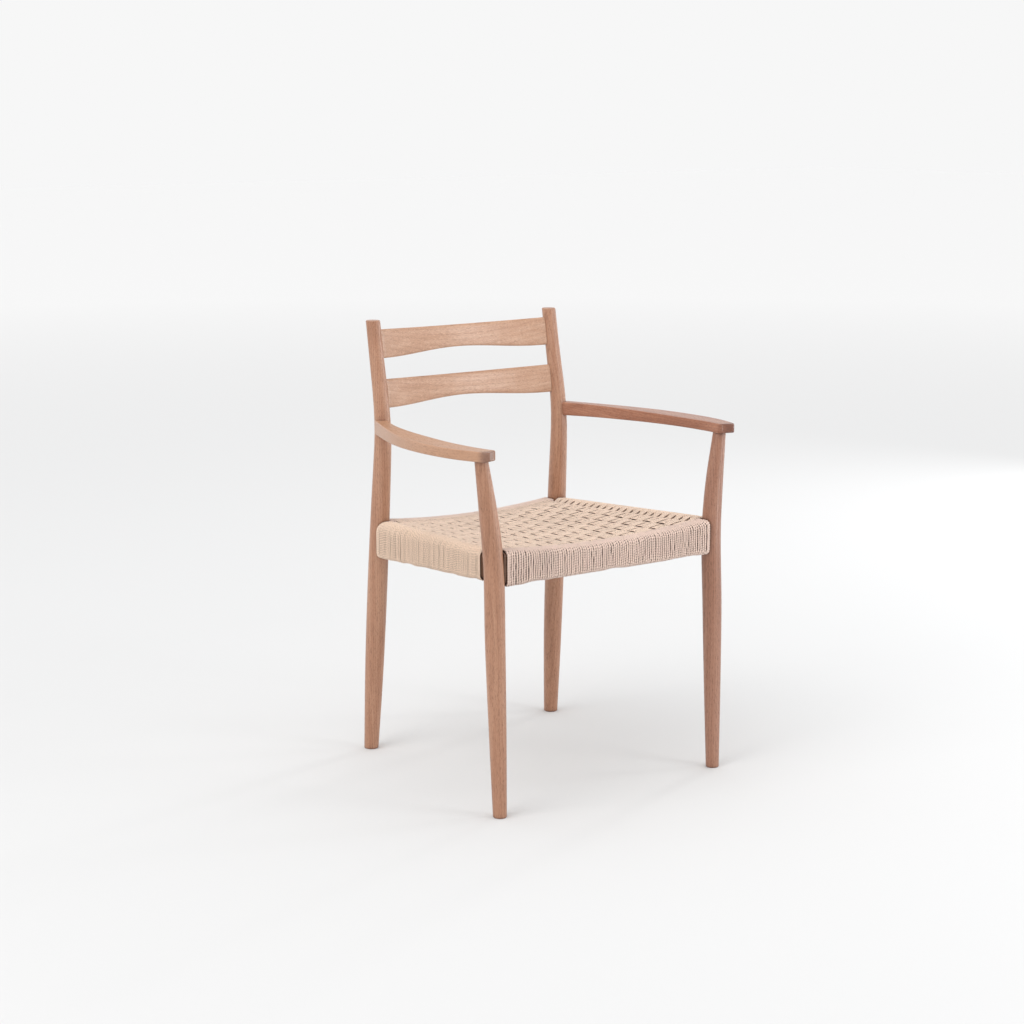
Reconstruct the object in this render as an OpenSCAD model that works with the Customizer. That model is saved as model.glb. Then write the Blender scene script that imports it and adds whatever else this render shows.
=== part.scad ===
// Dining armchair: solid oak frame, two curved back slats, a paper-cord seat
// woven on four rails. The chair faces -Y, its width runs along X and +Z is up.

/* [Overall size] */
// Height to the tops of the rear posts
chair_h = 800; // [700:5:960]
// Distance between the front foot centres
front_spread = 473; // [390:1:570]
// Distance between the rear foot centres
rear_spread = 417.5; // [345:1:505]
// Distance from the front foot centres back to the rear foot centres
foot_depth = 456; // [380:1:550]

/* [Legs] */
// Largest diameter of a front leg, at the seat
front_leg_d = 34.8; // [28:0.2:42]
// Diameter of a front foot
front_foot_d = 23.8; // [18:0.2:32]
// Diameter of a front leg where it enters the armrest
front_top_d = 23; // [18:0.2:30]
// Largest diameter of a rear post, below the seat
post_d = 36.6; // [29:0.2:44]
// Diameter of a rear foot
rear_foot_d = 26.6; // [20:0.2:34]
// Diameter of a rear post at its top
post_top_d = 26; // [20:0.2:32]
// How far the front legs lean out above the seat
leg_lean = 20; // [8:1:34]
// Rounding of the feet and post ends
end_round = 1.8; // [0.5:0.1:3]

/* [Armrests] */
// Height of the armrest tops at the rear posts
arm_h = 624; // [560:1:700]
// Widest part of an armrest
arm_w = 45.4; // [34:0.2:60]
// Width of an armrest where it meets the post
arm_rear_w = 24.4; // [16:0.2:30]
// Thickness of an armrest over the front leg
arm_t = 17.6; // [14:0.2:24]
// Thickness of an armrest at the post
arm_rear_t = 25.4; // [20:0.2:32]
// Radius of the long edges of an armrest
arm_edge = 2.4; // [0.5:0.1:5]
// How far the armrest bows out past the straight line between its ends
arm_bow = 35.7; // [10:0.1:50]

/* [Back slats] */
// Height of each slat at its ends
slat_h = 52.5; // [40:0.5:64]
// Thickness of each slat
slat_t = 11; // [8:0.2:15]
// How far each slat curves back in the middle
slat_bow = 28; // [8:1:40]
// How far the lower edge arches up in the middle
slat_arch = 11.5; // [0:0.5:16]
// Height of the middle of the upper slat's ends
slat_upper_z = 757.5; // [650:0.5:900]
// Height of the middle of the lower slat's ends
slat_lower_z = 669; // [590:0.5:720]

/* [Seat] */
// Height of the corded seat at the front corners
seat_h = 458.5; // [400:0.5:520]
// How much lower the seat is at the rear corners
seat_fall = 21.5; // [5:0.5:40]
// Dip in the middle of the front rail
front_dip = 12; // [3:0.5:18]
// Dip in the middle of the rear rail
rear_dip = 10; // [3:0.5:16]
// Height of the corded front rail at its ends
front_rail_h = 62; // [50:0.5:76]
// Height of the corded rear rail at its ends
rear_rail_h = 62; // [50:0.5:76]
// Height of a corded side rail at the front
side_rail_front_h = 51.5; // [44:0.5:66]
// Height of a corded side rail at the rear
side_rail_rear_h = 69; // [50:0.5:80]
// Radius of a side rail's outer top edge at its rear end
side_round = 15; // [6:0.5:18]
// Thickness of the wooden rails
rail_t = 25.2; // [20:0.5:32]
// Number of cord strips across the seat
strips = 12; // [8:1:18]
// Diameter of the paper cord
cord_d = 4.2; // [3:0.1:5]

/* [Joints] */
// Clearance around the tenons and dowels
fit_gap = 0.15; // [0.05:0.05:0.4]
// Thickness of the rail tenons
tenon_t = 10; // [8:0.5:12]
// Height of the rail tenons
tenon_h = 34; // [24:1:40]
// Diameter of the armrest dowels
dowel_d = 8; // [6:0.5:10]
// Diameter of the round tenon on top of a front leg
leg_tenon_d = 14; // [10:0.5:16]
// Number of cord nails along the front and along the rear rail
nails_across = 12; // [6:1:16]
// Number of cord nails along each side rail
nails_deep = 11; // [6:1:14]
// Diameter of a cord nail
nail_d = 2; // [1.6:0.1:2.6]

/* [Hidden] */
$fn = 48;
oak = [0.72, 0.50, 0.37];
oak_light = [0.78, 0.57, 0.43];
oak_inner = [0.74, 0.58, 0.42];
cord_col = [0.91, 0.79, 0.67];
steel = [0.55, 0.55, 0.56];

ring_n = 32;
fy = -foot_depth / 2;
ry = foot_depth / 2;
fx = front_spread / 2;
rx = rear_spread / 2;

function mix(a, b, t) = a + (b - a) * t;

// Smooth curve through stations: k are the positions, v the values there.
function tan_at(k, v, i) =
    let (a = max(i - 1, 0), b = min(i + 1, len(k) - 1)) (v[b] - v[a]) / (k[b] - k[a]);
function seg_of(k, x, i = 0) = (i >= len(k) - 2 || x <= k[i + 1]) ? i : seg_of(k, x, i + 1);
function curve(k, v, x) =
    let (i = seg_of(k, x), h = k[i + 1] - k[i], t = (x - k[i]) / h, t2 = t * t, t3 = t2 * t)
    (2 * t3 - 3 * t2 + 1) * v[i] + (t3 - 2 * t2 + t) * h * tan_at(k, v, i)
    + (3 * t2 - 2 * t3) * v[i + 1] + (t3 - t2) * h * tan_at(k, v, i + 1);

// Front leg: nearly upright to the seat, then leaning out to the armrest.
arm_under = arm_h + 4 - arm_t;
fl_z = [0, 0.245 * arm_under, 0.49 * arm_under, 0.705 * arm_under, 0.85 * arm_under, arm_under];
fl_x = [fx - 0.2, fx + 0.5, fx + 1.3, fx + 0.7, fx + 0.42 * leg_lean, fx + 1.04 * leg_lean];
fl_y = [fy + 0.2, fy + 5.5, fy + 11, fy + 16.2, fy + 19.7, fy + 22.2];
fl_d = [front_foot_d, mix(front_foot_d, front_leg_d, 0.57), front_leg_d - 0.3, front_leg_d - 0.2,
        mix(front_top_d, front_leg_d, 0.72), front_top_d];
function leg_x(z) = curve(fl_z, fl_x, z);
function leg_y(z) = curve(fl_z, fl_y, z);
function leg_d(z) = curve(fl_z, fl_d, z);

// Rear post: rising forward to the armrest, then bending back to its top.
pz = chair_h / 800;
rp_z = [0, 150 * pz, 300 * pz, 450 * pz, 560 * pz, 600 * pz, 650 * pz, 720 * pz, chair_h];
rp_x = [rx, rx - 3, rx - 5.5, rx - 8, rx - 9.8, rx - 10.6, rx - 11.3, rx - 11.9, rx - 12.2];
rp_y = [ry + 0.5, ry - 8.5, ry - 18.2, ry - 28.1, ry - 35.6, ry - 36.4, ry - 31.5, ry - 18.5, ry - 4.5];
rp_d = [rear_foot_d, mix(rear_foot_d, post_d, 0.76), post_d, post_d - 1.6,
        mix(post_top_d, post_d, 0.55), mix(post_top_d, post_d, 0.40), mix(post_top_d, post_d, 0.25),
        mix(post_top_d, post_d, 0.07), post_top_d];
function post_x(z) = curve(rp_z, rp_x, z);
function post_y(z) = curve(rp_z, rp_y, z);
function post_dia(z) = curve(rp_z, rp_d, z);

// Armrest: centre line, width, mid height and thickness along Y.
arm_back = post_y(arm_h - 12) - 2;
arm_tip = fy - 9;
arm_len = arm_back - (fy - 22);
tip_slant = 5;
tip_r = 8;
arm_u = [0, 1/6, 1/3, 1/2, 2/3, 5/6, 1];
arm_x0 = post_x(arm_h - 12) + 6.1;
arm_x1 = leg_x(arm_under) - 6.2;
function arm_line(u) = mix(arm_x0, arm_x1, u);
arm_bows = [0, 0.549 * arm_bow, 0.894 * arm_bow, 1.021 * arm_bow, 0.958 * arm_bow, 0.632 * arm_bow, -0.03 * arm_bow];
arm_ws = [arm_rear_w, mix(arm_rear_w, arm_w, 0.09), mix(arm_rear_w, arm_w, 0.56), mix(arm_rear_w, arm_w, 0.96),
          arm_w, 0.857 * arm_w, 0.524 * arm_w];
arm_ts = [arm_rear_t, arm_rear_t - 2, mix(arm_t, arm_rear_t, 0.48), mix(arm_t, arm_rear_t, 0.18),
          arm_t, arm_t, arm_t];
arm_zs = [arm_h - 0.3, arm_h + 0.1, arm_h + 0.5, arm_h + 1, arm_h + 1.7, arm_h + 3.2, arm_h + 4.8];
function arm_uu(y) = (arm_back - y) / arm_len;
function arm_cx(y) = arm_line(arm_uu(y)) + curve(arm_u, arm_bows, arm_uu(y));
function arm_cw(y) = curve(arm_u, arm_ws, arm_uu(y));
function arm_ct(y) = curve(arm_u, arm_ts, arm_uu(y));
function arm_top(y) = curve(arm_u, arm_zs, arm_uu(y));
function arm_mid(y) = arm_top(y) - arm_ct(y) / 2;

// Front leg top: where the leg meets the armrest.
lt_y = leg_y(arm_under);
lt_x = leg_x(arm_under);
lt_z = arm_top(lt_y) - arm_ct(lt_y);
house = 1;

// Rails: centre lines between the leg centres at seat height.
rail_z = seat_h - 32;
rear_rail_z = seat_h - seat_fall - 34;
fa = [leg_x(rail_z), leg_y(rail_z)];
ra = [post_x(rear_rail_z), post_y(rear_rail_z)];
front_scribe = leg_d(rail_z) / 2;
rear_scribe = post_dia(rear_rail_z) / 2;
scribe_gap = 0.3;
rail_gap = 1.1;
side_len = norm(ra - fa);
side_dir = (fa - ra) / side_len;
side_nrm = [-side_dir[1], side_dir[0]];
wrap_t = rail_t + 2 * cord_d;
wrap_gap = 0.8;
// From the back of the front wrap to the end of a side wrap, along the side rail.
corner_gap = 2;
rail_end = rail_t / 2 + 0.4;
side_end = rail_t / 2 + 2.6;

// Shift that puts the middle of the chair's box over the origin.
y_back = max(rp_y[0] + rear_foot_d / 2, rp_y[8] + post_top_d / 2);
y_mid = (y_back + arm_tip) / 2;

// A solid through rings of points; each ring runs anticlockwise seen from the last ring's side.
module loft(rings) {
    n = len(rings[0]);
    m = len(rings);
    polyhedron(
        points = [for (r = rings) each r],
        faces = concat(
            [[for (i = [0:n - 1]) i]],
            [for (j = [0:m - 2], i = [0:n - 1])
                each [[j * n + i, (j + 1) * n + i, (j + 1) * n + (i + 1) % n],
                      [j * n + i, (j + 1) * n + (i + 1) % n, j * n + (i + 1) % n]]],
            [[for (i = [n - 1:-1:0]) (m - 1) * n + i]]),
        convexity = 6);
}

module both() {
    children();
    mirror([1, 0, 0]) children();
}

module left() { translate([0, -y_mid, 0]) children(); }
module right() { translate([0, -y_mid, 0]) mirror([1, 0, 0]) children(); }

function disc(x, y, z, d) = [for (i = [0:ring_n - 1])
    [x + d / 2 * cos(i * 360 / ring_n), y + d / 2 * sin(i * 360 / ring_n), z]];

// Heights of the rings of a leg from z = 0 to z = top, with a rounded edge at the foot.
function round_steps() = [for (a = [0, 30, 60]) [end_round * (1 - cos(a)), end_round * (1 - sin(a))]];

// Closed cross-section with a radius on each side; a and b are its sides, z0 and z1 its heights.
function arc_pts(cx, cz, r, a0) = [for (i = [0:5]) [cx + r * cos(a0 + 18 * i), cz + r * sin(a0 + 18 * i)]];
function profile(a, b, z0, z1, r_a, r_b, r_top = 0) = let (r_c = max(r_b, r_top)) concat(
    arc_pts(b - r_b, z0 + r_b, r_b, -90), arc_pts(b - r_c, z1 - r_c, r_c, 0),
    arc_pts(a + r_a, z1 - r_a, r_a, 90), arc_pts(a + r_a, z0 + r_a, r_a, 180));

function sgn_pow(v, p) = sign(v) * pow(abs(v), p);
// Rectangle with its middle at [0, 0] and corners of radius r.
function soft_rect(w, h, r) = [for (c = [[1, 1, 0], [-1, 1, 90], [-1, -1, 180], [1, -1, 270]]) for (a = [0:22.5:90])
    [c[0] * (w / 2 - r) + r * cos(c[2] + a), c[1] * (h / 2 - r) + r * sin(c[2] + a)]];

function superellipse(w, h, e, n) = [for (i = [0:n - 1])
    [w / 2 * sgn_pow(cos((i + 0.5) * 360 / n), 2 / e), h / 2 * sgn_pow(sin((i + 0.5) * 360 / n), 2 / e)]];

// Cylinder from point p to point q.
module bar(p, q, d) {
    v = q - p;
    len_v = norm(v);
    translate(p)
        rotate([0, acos(v[2] / len_v), atan2(v[1], v[0])])
            cylinder(d = d, h = len_v);
}

// Cone along a leg between two heights, extra wider all round: it scribes what meets the leg.
module core(p, q, d0, d1) {
    v = q - p;
    len_v = norm(v);
    translate(p)
        rotate([0, acos(v[2] / len_v), atan2(v[1], v[0])])
            cylinder(d1 = d0, d2 = d1, h = len_v);
}

module post_core(z0, z1, extra) {
    core([post_x(z0), post_y(z0), z0], [post_x(z1), post_y(z1), z1],
         post_dia(z0) + 2 * extra, post_dia(z1) + 2 * extra);
}

module leg_core(z0, z1, extra) {
    core([leg_x(z0), leg_y(z0), z0], [leg_x(z1), leg_y(z1), z1],
         leg_d(z0) + 2 * extra, leg_d(z1) + 2 * extra);
}

// ---- Legs ----

// Slot for a rail tenon: a box along direction dir from point p, as long as reach.
module tenon_box(p, ang, reach, t, h) {
    translate(p)
        rotate([0, 0, ang])
            translate([0, -t / 2, -h / 2])
                cube([reach, t, h]);
}

side_ang = atan2(side_dir[1], side_dir[0]);
front_mid_z = seat_h - front_rail_h / 2 - 4;
rear_mid_z = seat_h - seat_fall - rear_rail_h / 2 - 3;
side_mid_front = seat_h - side_rail_front_h / 2 - 1;
side_mid_rear = seat_h - seat_fall - side_rail_rear_h / 2;
tenon_in = tenon_t / 2 + 0.6;

module leg_shape() {
    top = lt_z + house - 0.2;
    steps = 26;
    loft(concat(
        [for (s = round_steps()) disc(leg_x(0), leg_y(0), s[0], leg_d(0) - 2 * s[1])],
        [for (i = [0:steps]) let (z = mix(end_round, top, i / steps)) disc(leg_x(z), leg_y(z), z, leg_d(z))]));
}

module front_leg() {
    difference() {
        leg_shape();
        tenon_box([fa[0], fa[1], front_mid_z], 180, 40, tenon_t + 2 * fit_gap, tenon_h + 2 * fit_gap);
        tenon_box([fa[0], fa[1], side_mid_front], side_ang + 180, 40,
                  tenon_t + 2 * fit_gap, tenon_h + 2 * fit_gap);
    }
    translate([lt_x, lt_y, lt_z])
        cylinder(d = leg_tenon_d, h = 9.5);
}

module post_shape() {
    steps = 36;
    loft(concat(
        [for (s = round_steps()) disc(post_x(0), post_y(0), s[0], post_dia(0) - 2 * s[1])],
        [for (i = [0:steps]) let (z = mix(end_round, chair_h - end_round, i / steps))
            disc(post_x(z), post_y(z), z, post_dia(z))],
        [for (i = [2:-1:0]) let (s = round_steps()[i])
            disc(post_x(chair_h), post_y(chair_h), chair_h - s[0], post_dia(chair_h) - 2 * s[1])]));
}

// Armrest dowel: its two ends, in the armrest and in the post.
pin_z = arm_mid(post_y(arm_h - 12) - 25);
pin_a = [arm_cx(arm_back - 39), arm_back - 39, pin_z];
pin_b = [post_x(pin_z) + 3, post_y(pin_z) + 6, pin_z];

// Slat frame: ends on the post centres, leaning with the posts.
function slat_lean(z) = atan2(post_y(z + 26) - post_y(z - 26), 52);
function slat_end_x(z) = post_x(z) - post_dia(z) / 2;
slat_tenon_h = 34;
slat_tenon_t = 7;
slat_tenon_in = 13;

function slat_off(z) = slat_bow * (1 - pow(slat_end_x(z) / (post_x(z) + 2), 2)) - 1;

module slat_tenons(z, extra) {
    translate([0, post_y(z), z])
        rotate([-slat_lean(z), 0, 0])
            translate([-slat_end_x(z) - slat_tenon_in - extra, slat_off(z) - slat_tenon_t / 2 - extra,
                       -slat_tenon_h / 2 - extra])
                cube([2 * (slat_end_x(z) + slat_tenon_in + extra), slat_tenon_t + 2 * extra,
                      slat_tenon_h + 2 * extra]);
}

module rear_post() {
    difference() {
        post_shape();
        tenon_box([ra[0], ra[1], rear_mid_z], 180, 40, tenon_t + 2 * fit_gap, tenon_h + 2 * fit_gap);
        tenon_box([ra[0], ra[1], side_mid_rear], side_ang, 40, tenon_t + 2 * fit_gap, tenon_h + 2 * fit_gap);
        slat_tenons(slat_upper_z, fit_gap);
        slat_tenons(slat_lower_z, fit_gap);
        bar(pin_a, pin_b, dowel_d);
    }
}

// ---- Armrests ----

// The end is cut at a slant, its outer corner further forward, with round corners and a rounded lower edge.
module arm_shape() {
    steps = 30;
    y_round = arm_tip + tip_slant + tip_r;
    loft([for (i = [0:steps + 6])
        let (a = max(i - steps, 0) * 15,
             y = i <= steps ? mix(arm_back, y_round, i / steps) : y_round - tip_r * sin(a),
             cut = 1 - cos(a),
             w = arm_cw(y) - 2 * tip_r * 0.8 * cut,
             h = arm_ct(y) - 5 * cut,
             skew = tip_slant * pow(max(0, 1 - (y - arm_tip - tip_slant) / 60), 2))
        [for (q = soft_rect(w, h, arm_edge))
            [arm_cx(y) + q[0], y - skew * q[0] / (w / 2), arm_mid(y) + q[1] + 1.6 * cut]]]);
}

module armrest() {
    difference() {
        arm_shape();
        post_core(arm_h - 34, arm_h + 6, scribe_gap);
        bar(pin_a, pin_b, dowel_d);
        translate([lt_x, lt_y, lt_z - 20]) cylinder(d = leg_d(lt_z) + 2 * fit_gap + 0.4, h = 20 + house);
        translate([lt_x, lt_y, lt_z - 1]) cylinder(d = leg_tenon_d + 2 * fit_gap, h = 11);
    }
}

module arm_dowel() { bar(pin_a + (pin_b - pin_a) * 0.01, pin_b - (pin_b - pin_a) * 0.01, dowel_d - 0.1); }

// ---- Back slats ----

module slat_shape(z) {
    n = 18;
    half = post_x(z) + 2;
    lean = slat_lean(z);
    translate([0, post_y(z), z])
        rotate([-lean, 0, 0])
            loft([for (i = [0:n])
                let (x = mix(-half, half, i / n),
                     u = min(abs(x) / (half - 16), 1),
                     back = slat_bow * (1 - pow(abs(x) / half, 2)) - 1,
                     arch = slat_arch * (1 + cos(180 * u)) / 2,
                     h = slat_h - arch)
                [for (q = superellipse(slat_t, h, 5, 20)) [x, back + q[0], arch / 2 + q[1]]]]);
}

module slat(z) {
    difference() {
        slat_shape(z);
        both() post_core(z - slat_h / 2 - 3, z + slat_h / 2 + 3, scribe_gap);
    }
    intersection() {
        slat_tenons(z, 0);
        both()
            translate([slat_end_x(z) - 3, post_y(z) - 30, z - 60])
                cube([60, 60, 120]);
    }
}

// ---- Seat rails ----

function front_top(x, drop) = seat_h - drop - front_dip * (1 - pow(min(abs(x) / (fa[0] - 17), 1), 2));
function rear_top(x, drop) = seat_h - seat_fall - drop - rear_dip * (1 - pow(min(abs(x) / (ra[0] - 17), 1), 2));

// Front or rear rail; grow is 0 for the wood and cord_d for the corded outside.
module front_bar(grow) {
    n = 14;
    loft([for (i = [0:n]) let (x = mix(-fa[0], fa[0], i / n))
        [for (q = profile(fa[1] - rail_t / 2 - grow, fa[1] + rail_t / 2 + grow,
                          seat_h - front_rail_h + cord_d - grow, front_top(x, cord_d - grow),
                          6 + grow, 2 + grow / 2)) [x, q[0], q[1]]]]);
}

module rear_bar(grow) {
    n = 14;
    loft([for (i = [0:n]) let (x = mix(-ra[0], ra[0], i / n))
        [for (q = profile(ra[1] - rail_t / 2 - grow, ra[1] + rail_t / 2 + grow,
                          seat_h - seat_fall - rear_rail_h + cord_d - grow, rear_top(x, cord_d - grow),
                          2 + grow / 2, 6 + grow)) [x, q[0], q[1]]]]);
}

// Side rail between the centres of the rear post and the front leg.
module side_bar(grow) {
    loft([for (t = [0, 1])
        let (c = ra + side_dir * side_len * t,
             top = seat_h - mix(seat_fall, 1, t),
             bottom = mix(seat_h - seat_fall - side_rail_rear_h, seat_h - side_rail_front_h - 1, t))
        [for (q = profile(-rail_t / 2 - grow, rail_t / 2 + grow, bottom + cord_d - grow, top - cord_d + grow,
                          2 + grow / 2, 6 + grow, mix(side_round, 6, t) + grow))
            [c[0] + side_nrm[0] * q[0], c[1] + side_nrm[1] * q[0], q[1]]]]);
}

// Block that keeps the part of a rail between two places along it.
module keep_x(hx) { translate([-hx, -500, 0]) cube([2 * hx, 1000, 1000]); }
module keep_side(s0, s1) {
    translate([ra[0], ra[1], 0])
        rotate([0, 0, side_ang])
            translate([s0, -100, 0])
                cube([s1 - s0, 200, 1000]);
}

module rail_nail(p, ang, extra) {
    translate(p)
        rotate([0, 0, ang])
            rotate([0, 90, 0])
                translate([0, 0, -extra])
                    cylinder(d = nail_d + 2 * extra, h = nail_len + extra);
}

inward = side_nrm[0] > 0 ? 1 : -1;
nail_in = 10;
nail_out = cord_d + 2.4;
nail_len = nail_in + nail_out;
nail_up = 7;
nx0 = fa[0] - 40;
nx1 = ra[0] - 36;
front_nails = [for (i = [0:nails_across - 1])
    [mix(-nx0, nx0, i / (nails_across - 1)), fa[1] + rail_t / 2 - nail_in, seat_h - 36]];
rear_nails = [for (i = [0:nails_across - 1])
    [mix(-nx1, nx1, i / (nails_across - 1)), ra[1] - rail_t / 2 + nail_in, seat_h - seat_fall - 36]];
side_nails = [for (i = [0:nails_deep - 1])
    let (s = mix(38, side_len - 38, i / (nails_deep - 1)), c = ra + side_dir * s)
    [c[0] - side_nrm[0] * (rail_t / 2 - nail_in) * inward, c[1] - side_nrm[1] * (rail_t / 2 - nail_in) * inward,
     seat_h - mix(seat_fall, 0, s / side_len) - 35]];
side_nail_ang = atan2(-side_nrm[1] * inward, -side_nrm[0] * inward);

module rail_front() {
    color(oak_inner) {
        difference() {
            intersection() {
                front_bar(0);
                keep_x(fa[0] - rail_end);
            }
            both() leg_core(rail_z - 40, rail_z + 40, rail_gap);
            for (p = front_nails) rail_nail(p, 90, 0.05);
        }
        both()
            tenon_box([fa[0] - tenon_in, fa[1], front_mid_z], 180, front_scribe - tenon_in + 8, tenon_t, tenon_h);
    }
}

module rail_rear() {
    color(oak_inner) {
        difference() {
            intersection() {
                rear_bar(0);
                keep_x(ra[0] - rail_end);
            }
            both() post_core(rear_rail_z - 42, rear_rail_z + 42, rail_gap);
            for (p = rear_nails) rail_nail(p, -90, 0.05);
        }
        both()
            tenon_box([ra[0] - tenon_in, ra[1], rear_mid_z], 180, rear_scribe - tenon_in + 8, tenon_t, tenon_h);
    }
}

module rail_side() {
    color(oak_inner) {
        difference() {
            intersection() {
                side_bar(0);
                keep_side(rail_end, side_len - side_end);
            }
            leg_core(rail_z - 40, rail_z + 40, rail_gap);
            post_core(rear_rail_z - 46, rear_rail_z + 42, rail_gap);
            for (p = side_nails) rail_nail(p, side_nail_ang, 0.05);
        }
        tenon_box([fa[0] - side_dir[0] * tenon_in, fa[1] - side_dir[1] * tenon_in, side_mid_front],
                  side_ang + 180, front_scribe - tenon_in + 8, tenon_t, tenon_h);
        tenon_box([ra[0] + side_dir[0] * tenon_in, ra[1] + side_dir[1] * tenon_in, side_mid_rear],
                  side_ang, rear_scribe - tenon_in + 8, tenon_t, tenon_h);
    }
}

// ---- Cord nails: a shank in the rail and a short upturned end that holds the cord ----

module nail(p, ang) {
    translate(p)
        rotate([0, 0, ang])
            difference() {
                union() {
                    rotate([0, 90, 0]) cylinder(d = nail_d, h = nail_len);
                    translate([nail_len, 0, 0]) sphere(d = nail_d);
                    translate([nail_len, 0, 0]) cylinder(d = nail_d, h = nail_up);
                }
            }
}

module nails_front() { color(steel) for (p = front_nails) nail(p, 90); }
module nails_rear() { color(steel) for (p = rear_nails) nail(p, -90); }
module nails_side() { color(steel) for (p = side_nails) nail(p, side_nail_ang); }

// ---- Paper cord ----

module cord_front() {
    color(cord_col)
        difference() {
            intersection() {
                front_bar(cord_d);
                keep_x(fa[0] - front_scribe - wrap_gap);
            }
            front_bar(0);
            for (p = front_nails) rail_nail(p, 90, 0.3);
        }
}

module cord_rear() {
    color(cord_col)
        difference() {
            intersection() {
                rear_bar(cord_d);
                keep_x(ra[0] - rear_scribe - wrap_gap);
            }
            rear_bar(0);
            for (p = rear_nails) rail_nail(p, -90, 0.3);
        }
}

module cord_side() {
    color(cord_col)
        difference() {
            intersection() {
                side_bar(cord_d);
                keep_side(rear_scribe + wrap_gap, side_len - wrap_t / 2 - corner_gap);
            }
            side_bar(0);
            leg_core(rail_z - 40, rail_z + 40, wrap_gap);
            post_core(rear_rail_z - 46, rear_rail_z + 42, wrap_gap);
            for (p = side_nails) rail_nail(p, side_nail_ang, 0.3);
        }
}

side_dir_cos = abs(side_dir[1]);
weave_t = 9;
weave_sag = 2;
edge_in = 1.2;
front_drop = 4.5;
wy0 = fa[1] + wrap_t / 2;
wy1 = ra[1] - wrap_t / 2;
function weave_hx(y) = mix(fa[0], ra[0], (y - fa[1]) / (ra[1] - fa[1])) - wrap_t / 2 / side_dir_cos;
function weave_top(x, y) =
    let (t = (y - wy0) / (wy1 - wy0), u = min(abs(x) / weave_hx(y), 1))
    mix(seat_h - 1, seat_h - seat_fall, t) - edge_in
        - (mix(front_dip + front_drop, rear_dip, t) + weave_sag * 4 * t * (1 - t)) * (1 - u * u);

// The woven panel, as strips that run from the front rail to the rear rail.
module seat_weave() {
    ny = 8;
    color(cord_col)
        for (k = [0:strips - 1])
            loft([for (j = [0:ny])
                let (y = mix(wy1, wy0, j / ny), hx = weave_hx(y),
                     a = mix(-hx, hx, k / strips), b = mix(-hx, hx, (k + 1) / strips))
                [[a, y, weave_top(a, y) - weave_t], [b, y, weave_top(b, y) - weave_t],
                 [b, y, weave_top(b, y)], [a, y, weave_top(a, y)]]]);
}

// ---- Named pieces ----

module leg_front_left() { color(oak) left() front_leg(); }
module leg_front_right() { color(oak) right() front_leg(); }
module post_rear_left() { color(oak) left() rear_post(); }
module post_rear_right() { color(oak) right() rear_post(); }
module arm_left() { color(oak) left() armrest(); }
module arm_right() { color(oak) right() armrest(); }
module arm_dowels() { color(oak_inner) { left() arm_dowel(); right() arm_dowel(); } }
module slat_upper() { color(oak_light) left() slat(slat_upper_z); }
module slat_lower() { color(oak_light) left() slat(slat_lower_z); }
module seat_rail_front() { left() rail_front(); }
module seat_rail_rear() { left() rail_rear(); }
module seat_rail_left() { left() rail_side(); }
module seat_rail_right() { right() rail_side(); }
module cord_nails_front() { left() nails_front(); }
module cord_nails_rear() { left() nails_rear(); }
module cord_nails_left() { left() nails_side(); }
module cord_nails_right() { right() nails_side(); }
module cord_wrap_front() { left() cord_front(); }
module cord_wrap_rear() { left() cord_rear(); }
module cord_wrap_left() { left() cord_side(); }
module cord_wrap_right() { right() cord_side(); }
module cord_weave() { left() seat_weave(); }

leg_front_left();
leg_front_right();
post_rear_left();
post_rear_right();
arm_left();
arm_right();
arm_dowels();
slat_upper();
slat_lower();
seat_rail_front();
seat_rail_rear();
seat_rail_left();
seat_rail_right();
cord_nails_front();
cord_nails_rear();
cord_nails_left();
cord_nails_right();
cord_wrap_front();
cord_wrap_rear();
cord_wrap_left();
cord_wrap_right();
cord_weave();
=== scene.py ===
"""Wooden armchair with a woven cord seat: looks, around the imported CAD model. Lengths are in metres."""
import math

import bpy
import numpy as np
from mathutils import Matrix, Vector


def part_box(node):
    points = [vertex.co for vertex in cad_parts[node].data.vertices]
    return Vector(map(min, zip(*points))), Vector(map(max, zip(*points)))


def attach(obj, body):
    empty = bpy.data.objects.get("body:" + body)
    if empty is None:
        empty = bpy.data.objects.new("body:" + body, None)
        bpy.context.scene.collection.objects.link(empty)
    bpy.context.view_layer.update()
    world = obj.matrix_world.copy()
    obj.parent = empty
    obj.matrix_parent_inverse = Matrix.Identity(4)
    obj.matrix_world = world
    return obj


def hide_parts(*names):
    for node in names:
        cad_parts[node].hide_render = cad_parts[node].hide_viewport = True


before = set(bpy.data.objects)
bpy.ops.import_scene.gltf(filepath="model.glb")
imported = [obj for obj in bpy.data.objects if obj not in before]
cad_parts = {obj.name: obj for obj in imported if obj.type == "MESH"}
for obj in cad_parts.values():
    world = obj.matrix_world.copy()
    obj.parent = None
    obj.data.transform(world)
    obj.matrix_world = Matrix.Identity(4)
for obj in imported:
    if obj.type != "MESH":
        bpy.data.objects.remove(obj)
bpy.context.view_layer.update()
rng = np.random.default_rng(7)

# ---- Sizes that follow part.scad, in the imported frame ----
MM = 0.001
CORD_D = 4.2 * MM
R = CORD_D / 2
RAIL_Y = [0.5 * (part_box(n)[0][1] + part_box(n)[1][1]) for n in ("seat_rail_front", "seat_rail_rear")]
FRONT_C = (237.07 * MM, RAIL_Y[0])  # centre of a front leg at seat height
REAR_C = (201.53 * MM, RAIL_Y[1])  # centre of a rear post at seat height
SHIFT = RAIL_Y[0] + 211.97 * MM  # from the frame of the camera's solution to this one
WOOD_HALF = 12.6 * MM  # half the thickness of a rail's wood
RAIL_HALF = WOOD_HALF + CORD_D  # from the middle of a rail to the outside of its cord
LEG_R = 17 * MM  # radius of a leg where it takes the rails
SEAT_H = 458.5 * MM
SEAT_FALL = 21.5 * MM
FRONT_DIP = 12 * MM
REAR_DIP = 10 * MM
FRONT_RAIL_H = 62 * MM
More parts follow.
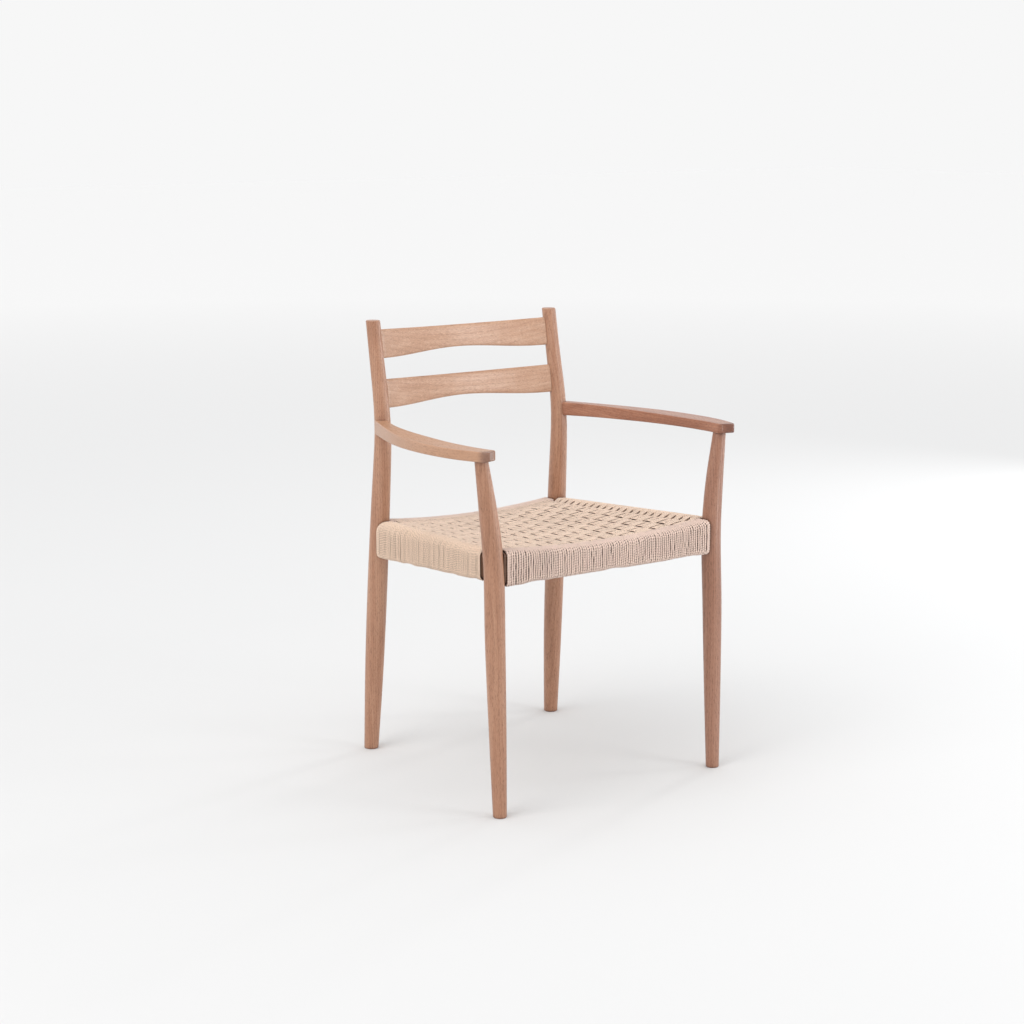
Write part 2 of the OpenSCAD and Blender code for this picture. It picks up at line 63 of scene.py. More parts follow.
REAR_RAIL_H = 62 * MM
SIDE_FRONT_H = 51.5 * MM
SIDE_REAR_H = 69 * MM
WEAVE_SAG = 2 * MM
EDGE_IN = 1.2 * MM  # from the top of the side rails' cord down to the panel's edge
FRONT_DROP = 4.5 * MM  # by which the panel dips below the front rail's cord
SIDE_DROP = 1 * MM  # from the seat's height to the top of a side rail at the front


def mix(a, b, t):
    return a + (b - a) * t


# ---- Camera ----
cam_data = bpy.data.cameras.new("camera")
cam_data.lens = 73.815
cam_data.sensor_width = 36
cam_data.clip_end = 60
cam = bpy.data.objects.new("camera", cam_data)
CAM_DOWN = 11.197  # degrees that it looks down, and the degrees that it stands to the left
CAM_LEFT = 35.516
cam.location = (-2.18453, -2.99275 + SHIFT, 1.19513)
cam.rotation_euler = (math.radians(90 - CAM_DOWN), 0, math.radians(-CAM_LEFT))
bpy.context.scene.collection.objects.link(cam)
bpy.context.scene.camera = cam


# ---- Node helpers ----
class Tree:
    """Short calls to build one material's node tree."""

    def __init__(self, name):
        self.mat = bpy.data.materials.new(name)
        self.mat.use_nodes = True
        self.nt = self.mat.node_tree
        self.bsdf = self.nt.nodes["Principled BSDF"]

    def node(self, kind, **inputs):
        n = self.nt.nodes.new("ShaderNode" + kind)
        for key, value in inputs.items():
            self.put(n.inputs[key.replace("_", " ")], value)
        return n

    def put(self, socket, value):
        if isinstance(value, bpy.types.NodeSocket):
            self.nt.links.new(value, socket)
        else:
            socket.default_value = value

    def coords(self):
        return self.node("TexCoord").outputs["Object"]

    def mapping(self, vector, scale=(1, 1, 1), rotation=(0, 0, 0), location=(0, 0, 0)):
        n = self.node("Mapping", Vector=vector, Scale=scale, Rotation=rotation, Location=location)
        return n.outputs["Vector"]

    def noise(self, vector, scale, detail=2.0, rough=0.5):
        n = self.node("TexNoise", Vector=vector, Scale=scale, Detail=detail, Roughness=rough)
        return n.outputs["Fac"]

    def math(self, op, a, b=0.0):
        n = self.nt.nodes.new("ShaderNodeMath")
        n.operation = op
        for socket, value in zip(n.inputs, (a, b)):
            self.put(socket, value)
        return n.outputs[0]

    def span(self, value, lo, hi, to_lo=0.0, to_hi=1.0, smooth=True):
        n = self.nt.nodes.new("ShaderNodeMapRange")
        n.interpolation_type = "SMOOTHSTEP" if smooth else "LINEAR"
        ends = (("From Min", lo), ("From Max", hi), ("To Min", to_lo), ("To Max", to_hi))
        for key, v in (("Value", value), *ends):
            self.put(n.inputs[key], v)
        return n.outputs[0]

    def ramp(self, fac, stops):
        n = self.nt.nodes.new("ShaderNodeValToRGB")
        while len(n.color_ramp.elements) < len(stops):
            n.color_ramp.elements.new(0.5)
        for e, (pos, col) in zip(n.color_ramp.elements, stops):
            e.position = pos
            e.color = (*col, 1)
        self.put(n.inputs["Fac"], fac)
        return n.outputs["Color"]

    def blend(self, kind, fac, a, b):
        n = self.nt.nodes.new("ShaderNodeMix")
        n.data_type = "RGBA"
        n.blend_type = kind
        self.put(n.inputs[0], fac)
        for socket, value in ((n.inputs[6], a), (n.inputs[7], b)):
            self.put(socket, (*value, 1) if isinstance(value, tuple) else value)
        return n.outputs[2]

    def bump(self, height, distance, strength):
        n = self.node("Bump", Height=height, Distance=distance, Strength=strength)
        return n.outputs["Normal"]

    def occlusion(self, reach):
        n = self.node("AmbientOcclusion", Distance=reach)
        n.samples = 4
        return n.outputs["AO"]


def oak(name, along, seed, tones, ring=230.0, pith=(0.09, 0.05), tilt=(0.0, 0.0), rings=0.06,
        flecks=0.22, gloss=0.42, tip=None):
    """Oak with its grain along "X", "Y" or "Z": rings round a distant heart, pores, flecks and fibres.

    tones: dark, middle and light. ring: rings per metre. pith: where the heart lies across the grain.
    rings and flecks: how strongly they show. tip: y of an end whose end grain shows, darkened partly as painted
    shade.
    """
    dark, mid, light = tones
    t = Tree(name)
    turn = {"X": (0, math.radians(90), 0), "Y": (math.radians(-90), 0, 0), "Z": (0, 0, 0)}[along]
    p = t.mapping(t.coords(), rotation=turn, location=(seed * 0.37, seed * 0.23, seed * 0.51))
    base = t.mapping(t.coords(), rotation=turn)
    base = t.mapping(base, rotation=(tilt[0], tilt[1], 0), location=(pith[0], pith[1], 0))
    # Rings: the distance from the heart, bent slowly along the grain.
    wander = t.noise(t.mapping(p, scale=(9, 9, 1.6)), 1.0, 2.0, 0.55)
    sep = t.node("SeparateXYZ", Vector=base)
    r2 = t.math("ADD", t.math("POWER", sep.outputs[0], 2), t.math("POWER", sep.outputs[1], 2))
    dist = t.math("SQRT", r2)
    dist = t.math("ADD", dist, t.math("MULTIPLY", t.math("SUBTRACT", wander, 0.5), 0.014))
    saw = t.math("FRACT", t.math("MULTIPLY", dist, ring))
    early = t.span(saw, 0.0, 0.42, 1.0, 0.0)
    late = t.span(saw, 0.86, 1.0, 0.0, 1.0)
    bands = t.math("MAXIMUM", early, late)
    # Pores: short dark lines, most of them in the early wood.
    pore_a = t.noise(t.mapping(p, scale=(2100, 2100, 150)), 1.0, 1.0, 0.4)
    pore_b = t.noise(t.mapping(p, scale=(1300, 1300, 95), location=(3, 1, 7)), 1.0, 1.0, 0.4)
    grow = t.span(bands, 0, 1, 0.0, 0.05)
    pores = t.span(t.math("ADD", t.math("MAXIMUM", pore_a, t.math("SUBTRACT", pore_b, 0.02)), grow), 0.61, 0.72)
    fibre = t.noise(t.mapping(p, scale=(900, 900, 9)), 1.0, 3.0, 0.6)
    streak = t.noise(t.mapping(p, scale=(110, 110, 2.4), location=(5, 2, 1)), 1.0, 3.0, 0.55)
    blotch = t.noise(t.mapping(p, scale=(14, 14, 5), location=(1, 9, 4)), 1.0, 2.0, 0.5)
    tone = t.math("ADD", t.math("MULTIPLY", streak, 0.5), t.math("MULTIPLY", fibre, 0.28))
    tone = t.math("ADD", tone, t.math("MULTIPLY", blotch, 0.3))
    tone = t.math("SUBTRACT", tone, t.math("MULTIPLY", bands, rings))
    tone = t.span(tone, 0.22, 0.76, smooth=False)
    col = t.ramp(tone, [(0.0, dark), (0.5, mid), (1.0, light)])
    col = t.blend("MIX", t.math("MULTIPLY", pores, 0.55), col, tuple(c * 0.42 for c in dark))
    # Ray flecks: short pale silky dashes.
    fleck = t.noise(t.mapping(p, scale=(1100, 1100, 150), location=(8, 3, 2)), 1.0, 1.0, 0.5)
    fleck = t.span(fleck, 0.60, 0.72)
    col = t.blend("MIX", t.math("MULTIPLY", fleck, flecks), col, tuple(min(1, c * 1.22) for c in light))
    if tip is not None:
        # End grain, darker than the rest, and partly painted shade: the tip faces the front, away from the key
        # lamp.
        end = t.node("SeparateXYZ", Vector=t.coords()).outputs[1]
        end = t.span(end, tip + 0.004, tip + 0.022, 0.95, 0.0)
        col = t.blend("MULTIPLY", end, col, (0.48, 0.42, 0.45))
    # Shade where pieces meet.
    near = t.span(t.occlusion(12 * MM), 0.35, 0.85, 0.8, 0.0)
    col = t.blend("MULTIPLY", near, col, (0.40, 0.30, 0.28))
    t.put(t.bsdf.inputs["Base Color"], col)
    t.put(t.bsdf.inputs["Coat Weight"], 0.30)
    t.put(t.bsdf.inputs["Coat Roughness"], 0.16)
    rough = t.math("ADD", t.span(fibre, 0.3, 0.7, 0.37, 0.47), t.math("MULTIPLY", pores, 0.25))
    t.put(t.bsdf.inputs["Roughness"], t.math("SUBTRACT", rough, t.math("MULTIPLY", fleck, 0.06)))
    t.put(t.bsdf.inputs["Specular IOR Level"], gloss)
    height = t.math("SUBTRACT", t.math("MULTIPLY", fibre, 0.25), pores)
    t.put(t.bsdf.inputs["Normal"], t.bump(height, 0.00012, 0.6))
    return t.mat


def paper_cord(name, tint, dark_at=0.20, bright_at=0.60):
    """Twisted paper cord: uneven beige, matt, with fine fibres, and painted shade where the cord is hemmed in.
    """
    t = Tree(name)
    p = t.coords()
    patch = t.noise(p, 22.0, 2.0, 0.5)
    mottle = t.noise(p, 420.0, 3.0, 0.6)
    fine = t.noise(p, 2600.0, 2.0, 0.6)
    tone = t.math("ADD", t.math("MULTIPLY", mottle, 0.55), t.math("MULTIPLY", patch, 0.45))
    tone = t.span(tone, 0.3, 0.7, smooth=False)
    dull, bright = tuple(c * 0.84 for c in tint), tuple(min(1, c * 1.07) for c in tint)
    col = t.ramp(tone, [(0.0, dull), (0.5, tint), (1.0, bright)])
    col = t.blend("MULTIPLY", t.span(fine, 0.5, 0.75, 0.0, 0.22), col, (0.72, 0.60, 0.46))
    # Painted shade deep between the turns and in the holes of the weave.
    shade = t.span(t.occlusion(14 * MM), dark_at, bright_at, 0.0, 1.0)
    col = t.blend("MIX", shade, tuple(c * d for c, d in zip(tint, (0.13, 0.08, 0.07))), col)
    t.put(t.bsdf.inputs["Base Color"], col)
    t.put(t.bsdf.inputs["Roughness"], t.span(mottle, 0.3, 0.7, 0.62, 0.78))
    t.put(t.bsdf.inputs["Specular IOR Level"], 0.3)
    t.put(t.bsdf.inputs["Sheen Weight"], 0.12)
    t.put(t.bsdf.inputs["Sheen Roughness"], 0.5)
    t.put(t.bsdf.inputs["Normal"], t.bump(t.math("ADD", fine, mottle), 0.00015, 0.5))
    return t.mat


def brushed_steel(name):
    t = Tree(name)
    n = t.noise(t.mapping(t.coords(), scale=(900, 900, 90)), 1.0, 2.0, 0.5)
    t.put(t.bsdf.inputs["Base Color"], t.ramp(n, [(0.3, (0.30, 0.29, 0.28)), (0.7, (0.46, 0.45, 0.44))]))
    t.put(t.bsdf.inputs["Metallic"], 1.0)
    t.put(t.bsdf.inputs["Roughness"], t.span(n, 0.3, 0.7, 0.32, 0.5))
    return t.mat


# Dark, middle and light tone of each kind of board.
BROWN = ((0.236, 0.103, 0.054), (0.365, 0.178, 0.104), (0.480, 0.270, 0.172))
PALE = ((0.345, 0.176, 0.094), (0.452, 0.250, 0.152), (0.570, 0.365, 0.255))
# SHADED: the brown darkened as painted shade, for the front leg on the side away from the key lamp.
SHADED = tuple(tuple(c * k for c, k in zip(v, (0.80, 0.75, 0.78))) for v in BROWN)
RED_ARM = ((0.190, 0.062, 0.026), (0.300, 0.110, 0.052), (0.450, 0.205, 0.115))
PALE_ARM = (PALE[0], (0.440, 0.235, 0.135), PALE[1])
# INNER_SHADE: oak darkened nearly to black as painted shade, for the seat rails, which show only in the gaps
# between the cords, and every other part without a look of its own.
INNER_SHADE = ((0.090, 0.045, 0.026), (0.150, 0.075, 0.043), (0.210, 0.115, 0.070))

ARM = dict(gloss=0.6, tip=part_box("arm_left")[0][1])
SLAT = dict(ring=150, rings=0.035, flecks=0.55, gloss=0.6)
boards = (
    ("leg_front_left", "Z", SHADED, dict(pith=(0.08, 0.06))),
    ("leg_front_right", "Z", BROWN, dict(pith=(-0.06, 0.09))),
    ("post_rear_left", "Z", BROWN, dict(pith=(0.05, -0.1))),
    ("post_rear_right", "Z", BROWN, dict(pith=(-0.1, 0.05))),
    ("arm_left", "Y", RED_ARM, dict(pith=(0.04, 0.08), flecks=0.5, **ARM)),
    ("arm_right", "Y", PALE_ARM, dict(pith=(0.04, 0.06), flecks=0.4, **ARM)),
    ("slat_upper", "X", PALE, dict(pith=(-0.70, -0.155), tilt=(0.04, 0.03), **SLAT)),
    ("slat_lower", "X", PALE, dict(pith=(-0.60, -0.16), tilt=(0.03, -0.04), **SLAT)),
)
looks = {}
for seed, (name, along, tones, grain) in enumerate(boards, 1):
    looks[name] = oak("oak_" + name, along, seed, tones, **grain)
# Painted shade: near-black oak for all the parts without a look of their own, most of all the seat rails
# between the cords.
shaded_inner_oak = oak("oak_inner", "X", len(boards) + 1, INNER_SHADE)
steel = brushed_steel("steel_nail")
for name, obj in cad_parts.items():
    if name in looks:
        mat = looks[name]
    elif name.startswith("cord_nails"):
        mat = steel
    else:
        mat = shaded_inner_oak
    for s in obj.material_slots:
        s.material = mat
    if not obj.material_slots:
        obj.data.materials.append(mat)

cord_mat = paper_cord("paper_cord", (0.870, 0.685, 0.555))
side_mat = paper_cord("paper_cord_side", (0.890, 0.684, 0.532), 0.16, 0.74)
# Darker, greyer copy of the cord for the front and rear wraps: painted shade on faces turned from the lamps.
front_shaded_mat = paper_cord("paper_cord_front_shaded", (0.800, 0.622, 0.535), 0.02, 0.42)

# ---- Twisted cord ----
SIDES = 6
HUG = 4.5 * MM  # how far the last turns bend round a leg
HUG_SPAN = 45 * MM
LAY = 12.6 * MM  # length in which a strand goes once round the cord
STEP = 1.45 * MM  # between rings where the cord is seen
HIDDEN_STEP = 7 * MM  # between rings on straights out of sight
HIDDEN_TURN = 2.6 * MM  # and on corners out of sight
VALLEY = 0.70  # depth of the groove between strands, as a share of the radius


class Cords:
    """Collects cords and makes one mesh of them."""

    def __init__(self):
        self.verts, self.quads, self.caps, self.count = [], [], [], 0

    def add(self, pts, side, closed, twist_on=None, radius=R, phase=0.0, valley=VALLEY):
        """pts: (n, 3) middle line. side: a direction never along the cord.

        twist_on: 1 where the twist shows. valley: as VALLEY.
        """
        n = len(pts)
        nxt = np.roll(pts, -1, 0)
        prv = np.roll(pts, 1, 0)
        if not closed:
            nxt[-1], prv[0] = pts[-1], pts[0]
        tan = nxt - prv
        tan /= np.linalg.norm(tan, axis=1)[:, None]
        a = side - tan * (tan @ side)[:, None]
        a /= np.linalg.norm(a, axis=1)[:, None]
        b = np.cross(tan, a)
        seg = np.linalg.norm(np.roll(pts, -1, 0) - pts, axis=1)
        if not closed:
            seg = seg[:-1]
        w = np.ones(len(seg)) if twist_on is None else twist_on[: len(seg)]
        turn = seg * w * 2 * math.pi / LAY
        if closed:
            whole = max(1, round(turn.sum() / (2 * math.pi)))
            turn *= whole * 2 * math.pi / turn.sum()
        ang = phase + np.concatenate([[0], np.cumsum(turn)])[:n]
        th = ang[:, None] + np.arange(SIDES)[None, :] * 2 * math.pi / SIDES
        rad = np.where(np.arange(SIDES) % 2 == 0, 1.0, valley)[None, :] * radius
        u = (np.cos(th) * rad)[:, :, None] * a[:, None, :]
        v = (np.sin(th) * rad)[:, :, None] * b[:, None, :]
        self.verts.append((pts[:, None, :] + u + v).reshape(-1, 3))
        rows = n if closed else n - 1
        i = np.arange(rows)[:, None] * SIDES
        j = np.arange(SIDES)[None, :]
        k = (j + 1) % SIDES
        up = ((np.arange(rows)[:, None] + 1) % n) * SIDES
        q = np.stack([i + j, i + k, up + k, up + j], -1).reshape(-1, 4) + self.count
        self.quads.append(q)
        if not closed:
            self.caps.append([self.count + m for m in range(SIDES)][::-1])
            self.caps.append([self.count + (n - 1) * SIDES + m for m in range(SIDES)])
        self.count += n * SIDES

    def build(self, name, nodes, mat=cord_mat):
        """One piece of all the cords, in place of these CAD nodes."""
        verts = np.concatenate(self.verts)
        quads = np.concatenate(self.quads)
        me = bpy.data.meshes.new(name)
        caps = np.array(self.caps, dtype=np.int64).reshape(-1, SIDES)
        loops = np.concatenate([quads.ravel(), caps.ravel()]).astype(np.int32)
        starts = np.concatenate([np.arange(len(quads)) * 4, len(quads) * 4 + np.arange(len(caps)) * SIDES])
        me.vertices.add(len(verts))
        me.vertices.foreach_set("co", verts.astype(np.float32).ravel())
        me.loops.add(len(loops))
        me.loops.foreach_set("vertex_index", loops)
        me.polygons.add(len(starts))
        me.polygons.foreach_set("loop_start", starts.astype(np.int32))
        me.polygons.foreach_set("use_smooth", np.ones(len(starts), dtype=bool))
        me.update(calc_edges=True)
        me.validate()
        me.materials.append(mat)
        obj = bpy.data.objects.new(name, me)
        bpy.context.scene.collection.objects.link(obj)
        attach(obj, "root")
        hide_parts(*nodes)


def rounded_loop(u0, u1, v0, v1, r00, r10, r11, r01):
    """Points round a box with rounded corners, and 1 on its outer side (u1) and top, where the twist shows.

    r00, r10, r11, r01: corner radii at the lower inner, lower outer, upper outer and upper inner corner.
    """
    pts, on = [], []

    def line(p, q, fine):
        n = max(2, int(round(math.dist(p, q) / (STEP if fine else HIDDEN_STEP))))
        for i in range(n):
            pts.append((mix(p[0], q[0], i / n), mix(p[1], q[1], i / n)))
            on.append(1.0 if fine else 0.0)

    def arc(cx, cy, r, a0, fine):
        n = max(2, int(round(r * math.pi / 2 / (STEP if fine else HIDDEN_TURN))))
        for i in range(n):
            a = math.radians(a0 + 90 * i / n)
            pts.append((cx + r * math.cos(a), cy + r * math.sin(a)))
            on.append(1.0 if fine else 0.0)

    line((u0 + r00, v0), (u1 - r10, v0), False)
    arc(u1 - r10, v0 + r10, r10, -90, True)
    line((u1, v0 + r10), (u1, v1 - r11), True)
    arc(u1 - r11, v1 - r11, r11, 0, True)
    line((u1 - r11, v1), (u0 + r01, v1), True)
    arc(u0 + r01, v1 - r01, r01, 90, True)
    line((u0, v1 - r01), (u0, v0 + r00), False)
    arc(u0 + r00, v0 + r00, r00, 180, False)
    return np.array(pts), np.array(on)


def slow(n, every, size):
    """Smooth random values: n of them, turning about every so many."""
    k = rng.normal(0, 1, int(n / every) + 4)
    x = np.arange(n) / every
    i = x.astype(int)
    f = x - i
    f = f * f * (3 - 2 * f)
    return (k[i] * (1 - f) + k[i + 1] * f) * size


def spread(length, gaps, pitch):
    """Places of the turns along a rail of this length, a cord apart, with a few wider gaps."""
    n = int(length / (pitch * 1.005 + gaps.mean()))
    step = pitch * 0.985 + np.abs(rng.normal(0, 0.00012, n)) + gaps[:n]
    x = np.cumsum(step) - step / 2
    return x * length / step.sum()


def wrap(tag, place, length, top, bottom, corners, gaps, side, pitch, fat, valley, wobble, mat):
    """Turns of cord round a rail.

    place(s, u, z) gives the point s along the rail and u outwards from its middle.
    fat: the radius as a share of the cord's own. wobble: how unevenly each turn runs.
    """
    c = Cords()
    xs = spread(length, gaps, pitch)
    n = len(xs)
    lean = slow(n, 9, 0.0007) + rng.normal(0, 0.0002, n)
    low = slow(n, 6, 0.0008) + rng.normal(0, 0.0002, n)
    out = rng.normal(0, 0.00012, n)
    for i, s in enumerate(xs):
        z1 = top(s) - R
        z0 = bottom(s) + R + min(max(low[i], -0.0009), 0.0016)
        half = RAIL_HALF - R + min(out[i], 0.0002)
        uv, on = rounded_loop(-half, half, z0, z1, *corners(s))
        mid, h = (z0 + z1) / 2, (z1 - z0) / 2
        along = s + lean[i] * (uv[:, 1] - mid) / h * 0.5 + 0.5 * CORD_D * np.where(uv[:, 0] < 0, -0.5, 0.0)
        along = np.clip(along, R, length - R)
        near = min(s, length - s)
        reach = max(0.0, 1 - near / HUG_SPAN) * HUG * (-1 if s < length / 2 else 1)
        along = along + reach * (np.abs(uv[:, 0]) / half) ** 4
        along = np.clip(along + slow(len(along), 7, wobble), 0.5 * R, length - 0.5 * R)
        pts = np.array([place(a, q[0], q[1]) for a, q in zip(along, uv)])
        radius = R * fat * rng.uniform(0.96, 1.04)
        c.add(pts, side, True, on, radius=radius, phase=rng.uniform(0, 6.28), valley=valley)
    c.build("cord_" + tag, ["cord_wrap_" + tag], mat)


def front_top(x):
    return SEAT_H - FRONT_DIP * (1 - min(abs(x) / (FRONT_C[0] - LEG_R), 1) ** 2)


def rear_top(x):
    return SEAT_H - SEAT_FALL - REAR_DIP * (1 - min(abs(x) / (REAR_C[0] - LEG_R), 1) ** 2)


def few_gaps(n, chance, size):
    """Turns that touch, with a gap here and there."""
    return np.where(rng.random(n) < chance, rng.uniform(0.4, 1.0, n) * size, 0.0)


def pair_gaps(n):
    """Turns that lie in twos and fours, further apart towards the rear."""
    i = np.arange(n)
    g = np.where(i % 2 == 1, 0.9, 0.0) + np.where(i % 4 == 3, 1.5, 0.0)
    return g * rng.uniform(0.4, 1.5, n) * MM * np.clip(1.35 - 1.5 * i / n, 0.15, 1)


front_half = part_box("cord_wrap_front")[1][0]
rear_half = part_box("cord_wrap_rear")[1][0]
for tag, half_length, middle_y, outwards, top_line, bottom_z in (
    ("front", front_half, FRONT_C[1], -1, front_top, SEAT_H - FRONT_RAIL_H),
    ("rear", rear_half, REAR_C[1], 1, rear_top, SEAT_H - SEAT_FALL - REAR_RAIL_H),
):
    wrap(
        tag, lambda s, u, z: (s - half_length, middle_y + outwards * u, z), 2 * half_length,
        lambda s: top_line(s - half_length), lambda s: bottom_z, lambda s: (2 * MM, 8 * MM, 8 * MM, 2.5 * MM),
        few_gaps(140, 0.10, 0.0004), np.array([1.0, 0, 0]), 4.65 * MM,
        fat=1.28, valley=0.60, wobble=0.40 * MM, mat=front_shaded_mat,
    )
side_vec = np.array([FRONT_C[0] - REAR_C[0], FRONT_C[1] - REAR_C[1]])
SIDE_LEN = float(np.linalg.norm(side_vec))
side_vec /= SIDE_LEN
side_out = np.array([-side_vec[1], side_vec[0]])
S0 = 20.5 * MM  # from the post's middle to the first turn
S1 = SIDE_LEN - 20 * MM  # and to the last one, beside the front leg
for sign, tag in ((1, "left"), (-1, "right")):
    def place(s, u, z, sign=sign):
        x = REAR_C[0] + side_vec[0] * (s + S0) + side_out[0] * u
        y = REAR_C[1] + side_vec[1] * (s + S0) + side_out[1] * u
        return (sign * x, y, z)

    wrap(
        tag, place, S1 - S0,
        lambda s: SEAT_H - mix(SEAT_FALL, SIDE_DROP, (s + S0) / SIDE_LEN),
        lambda s: mix(SEAT_H - SEAT_FALL - SIDE_REAR_H, SEAT_H - SIDE_FRONT_H - SIDE_DROP, (s + S0) / SIDE_LEN),
        lambda s: (2 * MM, 8 * MM, mix(17 * MM, 8 * MM, (s + S0) / SIDE_LEN), 2.5 * MM),
        pair_gaps(120), np.array([sign * side_vec[0], side_vec[1], 0.0]), 4.0 * MM,
        fat=1.0, valley=0.78, wobble=0.12 * MM, mat=side_mat,
    )

# ---- Woven panel ----
WY0 = FRONT_C[1] + RAIL_HALF
WY1 = REAR_C[1] - RAIL_HALF
STRIPS = 12  # front to back
STRIP_CORDS = 6
ROWS = 21  # side to side
ROW_CORDS = 4
EDGE = 13 * MM  # left open beside the side rails
WAVE = CORD_D * 0.6  # how far a cord rises and falls
TUCK = 4 * MM  # by which the strips start in front of the panel


def weave_hx(y):
    """Half the width of the panel at y."""
    rail_x = mix(FRONT_C[0], REAR_C[0], (y - FRONT_C[1]) / (REAR_C[1] - FRONT_C[1]))
    return rail_x - RAIL_HALF / abs(side_vec[1])


def weave_top(x, y):
    """Height of the panel's top."""
    t = (y - WY0) / (WY1 - WY0)
    u = np.minimum(np.abs(x) / weave_hx(y), 1)
    dish = mix(FRONT_DIP + FRONT_DROP, REAR_DIP, t) + WEAVE_SAG * 4 * t * (1 - t)
    return mix(SEAT_H - SIDE_DROP, SEAT_H - SEAT_FALL, t) - EDGE_IN - dish * (1 - u * u)


def over_under(q, first):
    """+1 over, -1 under, smooth between strips. q counts strips."""
    w = np.sin(math.pi * q) * first
    return np.tanh(1.9 * w) / math.tanh(1.9)


LAP = 17 * MM  # how far the cords run over the rails before they dive between the turns
LAP_DROP = 1.7 * MM  # from the crest of a wrap to their middle
PINCH_X = 0.07  # share by which a strip draws in between two rows
PINCH_Y = 0.34  # and a row between two strips
MID_DROP = 4.4 * MM  # from the top of the panel to its middle surface
rows_y = [mix(WY0, WY1, (j + 0.5) / ROWS) for j in range(ROWS)]
row_pitch = (WY1 - WY0) / ROWS
UP = np.array([0, 0, 1.0])


def strip_x(k, y):
    """x of the boundary k (0 to STRIPS) between strips at y."""
    half = weave_hx(y) - EDGE
    return -half + 2 * half * k / STRIPS


warps = [Cords() for _ in range(3)]
for k in range(STRIPS):
    for m in range(STRIP_CORDS):
        y_end = WY1 + LAP
        n = int((y_end - WY0 + TUCK) / STEP)
        y = np.linspace(WY0 - TUCK, y_end, n)
        pitch = 2 * (weave_hx(y) - EDGE) / STRIPS
        mid = strip_x(k + 0.5, y)
        q = (y - WY0) / row_pitch
        h = over_under(q, 1 if k % 2 == 1 else -1)
        h = mix(h, 1.0, np.clip((q - ROWS + 1.35) / 0.4, 0, 1))  # over the last row
        near = np.abs(q - np.round(q)) * row_pitch
        squeeze = CORD_D * (1.0 - PINCH_X * np.exp(-((near / (4 * MM)) ** 2)))
        squeeze = mix(squeeze, pitch / STRIP_CORDS * 1.03, np.clip((y - WY1 + 25 * MM) / (9 * MM), 0, 1))
        x = mid + (m - (STRIP_CORDS - 1) / 2) * squeeze + slow(n, 14, 0.00022)
        z = weave_top(x, y) - MID_DROP + h * WAVE * (1 + rng.normal(0, 0.04)) + slow(n, 12, 0.00012)
        z -= 0.004 * np.clip(1 - (y - WY0 + TUCK) / 0.008, 0, 1) ** 2
        crest = np.array([rear_top(v) for v in x]) - LAP_DROP
        z = mix(z, crest, np.clip((y - WY1 + 10 * MM) / (14 * MM), 0, 1) ** 1.5)
        z -= 0.005 * np.clip(1 - (y_end - y) / 0.009, 0, 1) ** 2
        warps[k * 3 // STRIPS].add(np.stack([x, y, z], 1), UP, False, phase=rng.uniform(0, 6.28))
for i, c in enumerate(warps):
    c.build("cord_warp_" + "abc"[i], ["cord_weave"])

wefts = [Cords() for _ in range(3)]
for j in range(ROWS):
    for m in range(ROW_CORDS):
        off = (m - (ROW_CORDS - 1) / 2) * CORD_D * 0.95
        y0 = rows_y[j] + off
        hx = weave_hx(y0)
        n = int((2 * hx + 2 * LAP) / STEP)
        x = np.linspace(-hx - LAP, hx + LAP, n)
        half = hx - EDGE
        q = np.clip((x + half) / (2 * half) * STRIPS, 0, STRIPS)
        near = np.abs(q - np.round(q)) * 2 * half / STRIPS
        narrow = 1 - PINCH_Y * np.exp(-((near / (5.5 * MM)) ** 2))
        over_rail = np.clip((np.abs(x) - hx - 7 * MM) / (6 * MM), 0, 1)
        narrow = mix(narrow, row_pitch / ROW_CORDS / CORD_D, over_rail)
        y = rows_y[j] + off * narrow + slow(n, 14, 0.00025)
        h = over_under(q, -1 if j % 2 == 1 else 1) if j < ROWS - 1 else -1.0
        z = weave_top(x, y) - MID_DROP + h * WAVE * (1 + rng.normal(0, 0.04)) + slow(n, 12, 0.00012)
        crest = mix(SEAT_H - SEAT_FALL, SEAT_H, (REAR_C[1] - y) / (REAR_C[1] - FRONT_C[1])) - LAP_DROP
        z = mix(z, crest, np.clip((np.abs(x) - hx + 12 * MM) / (15 * MM), 0, 1) ** 1.5)
        z -= 0.005 * np.clip(1 - (hx + LAP - np.abs(x)) / 0.010, 0, 1) ** 2
        wefts[j * 3 // ROWS].add(np.stack([x, y, z], 1), UP, False, phase=rng.uniform(0, 6.28))
for i, c in enumerate(wefts):
    c.build("cord_weft_" + "abc"[i], ["cord_weave"])

bpy.context.scene.view_settings.view_transform = "Standard"

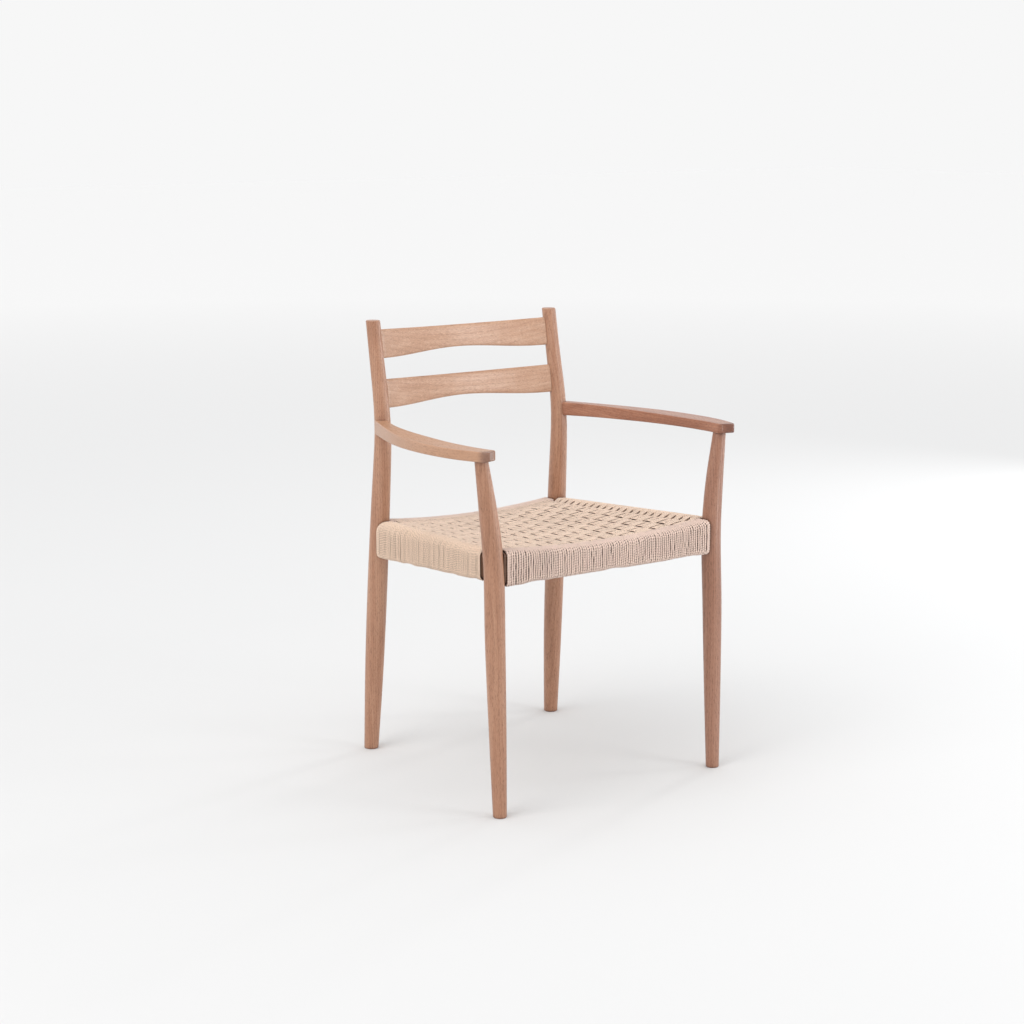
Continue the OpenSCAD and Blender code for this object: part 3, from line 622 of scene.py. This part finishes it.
# ---- Floor and light ----
me = bpy.data.meshes.new("floor")
FLOOR = 24.0  # from the middle to each side
floor_corners = [(FLOOR * i, FLOOR * j, 0) for i, j in ((-1, -1), (1, -1), (1, 1), (-1, 1))]
me.from_pydata(floor_corners, [], [(0, 1, 2, 3)])
floor = bpy.data.objects.new("floor", me)
bpy.context.scene.collection.objects.link(floor)
t = Tree("pale_floor")
far = t.node("VectorMath", Vector=t.coords())
far.operation = "LENGTH"
# Paler far away, where less of the lamps' light falls.
fade = t.span(far.outputs["Value"], 1.2, 9.0, smooth=False)
t.put(t.bsdf.inputs["Base Color"], t.ramp(fade, [(0.0, (0.670, 0.673, 0.676)), (1.0, (0.850, 0.850, 0.850))]))
t.put(t.bsdf.inputs["Roughness"], 0.9)
t.put(t.bsdf.inputs["Specular IOR Level"], 0.1)
me.materials.append(t.mat)

world = bpy.data.worlds.new("studio")
bpy.context.scene.world = world
world.use_nodes = True
sky = world.node_tree.nodes["Background"]
sky.inputs["Color"].default_value = (1, 1, 1, 1)
sky.inputs["Strength"].default_value = 0.93


def area(name, place, target, size, power, tint=(1, 1, 1)):
    """A rectangular lamp that faces its target."""
    d = bpy.data.lights.new(name, "AREA")
    d.shape = "RECTANGLE"
    d.size, d.size_y = size
    d.energy = power
    d.color = tint
    o = bpy.data.objects.new(name, d)
    bpy.context.scene.collection.objects.link(o)
    p, q = np.array(place, float), np.array(target, float)
    v = q - p
    o.location = p
    yaw = math.atan2(-v[0], v[1])
    pitch = math.acos(-v[2] / np.linalg.norm(v))
    o.rotation_euler = (pitch, 0, yaw)


area("key", (-3.4, -0.4, 2.4), (0, 0, 0.45), (2.2, 2.2), 30, (1.0, 0.97, 0.94))
area("top", (0.2, 0.3, 3.4), (0, 0, 0.4), (3.0, 3.0), 14)
area("strip_front", (1.6, -2.65, 1.0), (0, 0, 0.8), (0.9, 2.0), 24)
area("strip_side", (3.0, -1.25, 0.95), (0, 0, 0.8), (0.5, 1.8), 16)
area("strip_back", (3.2, 0.9, 1.3), (0.1, 0, 0.5), (0.25, 2.4), 14)

sun_data = bpy.data.lights.new("sun_left", "SUN")
sun_data.energy = 0.7
sun_data.angle = math.radians(50)
sun = bpy.data.objects.new("sun_left", sun_data)
sun.rotation_euler = (math.radians(90 - 48), 0, math.radians(-80))  # 48 degrees up, from the left
bpy.context.scene.collection.objects.link(sun)
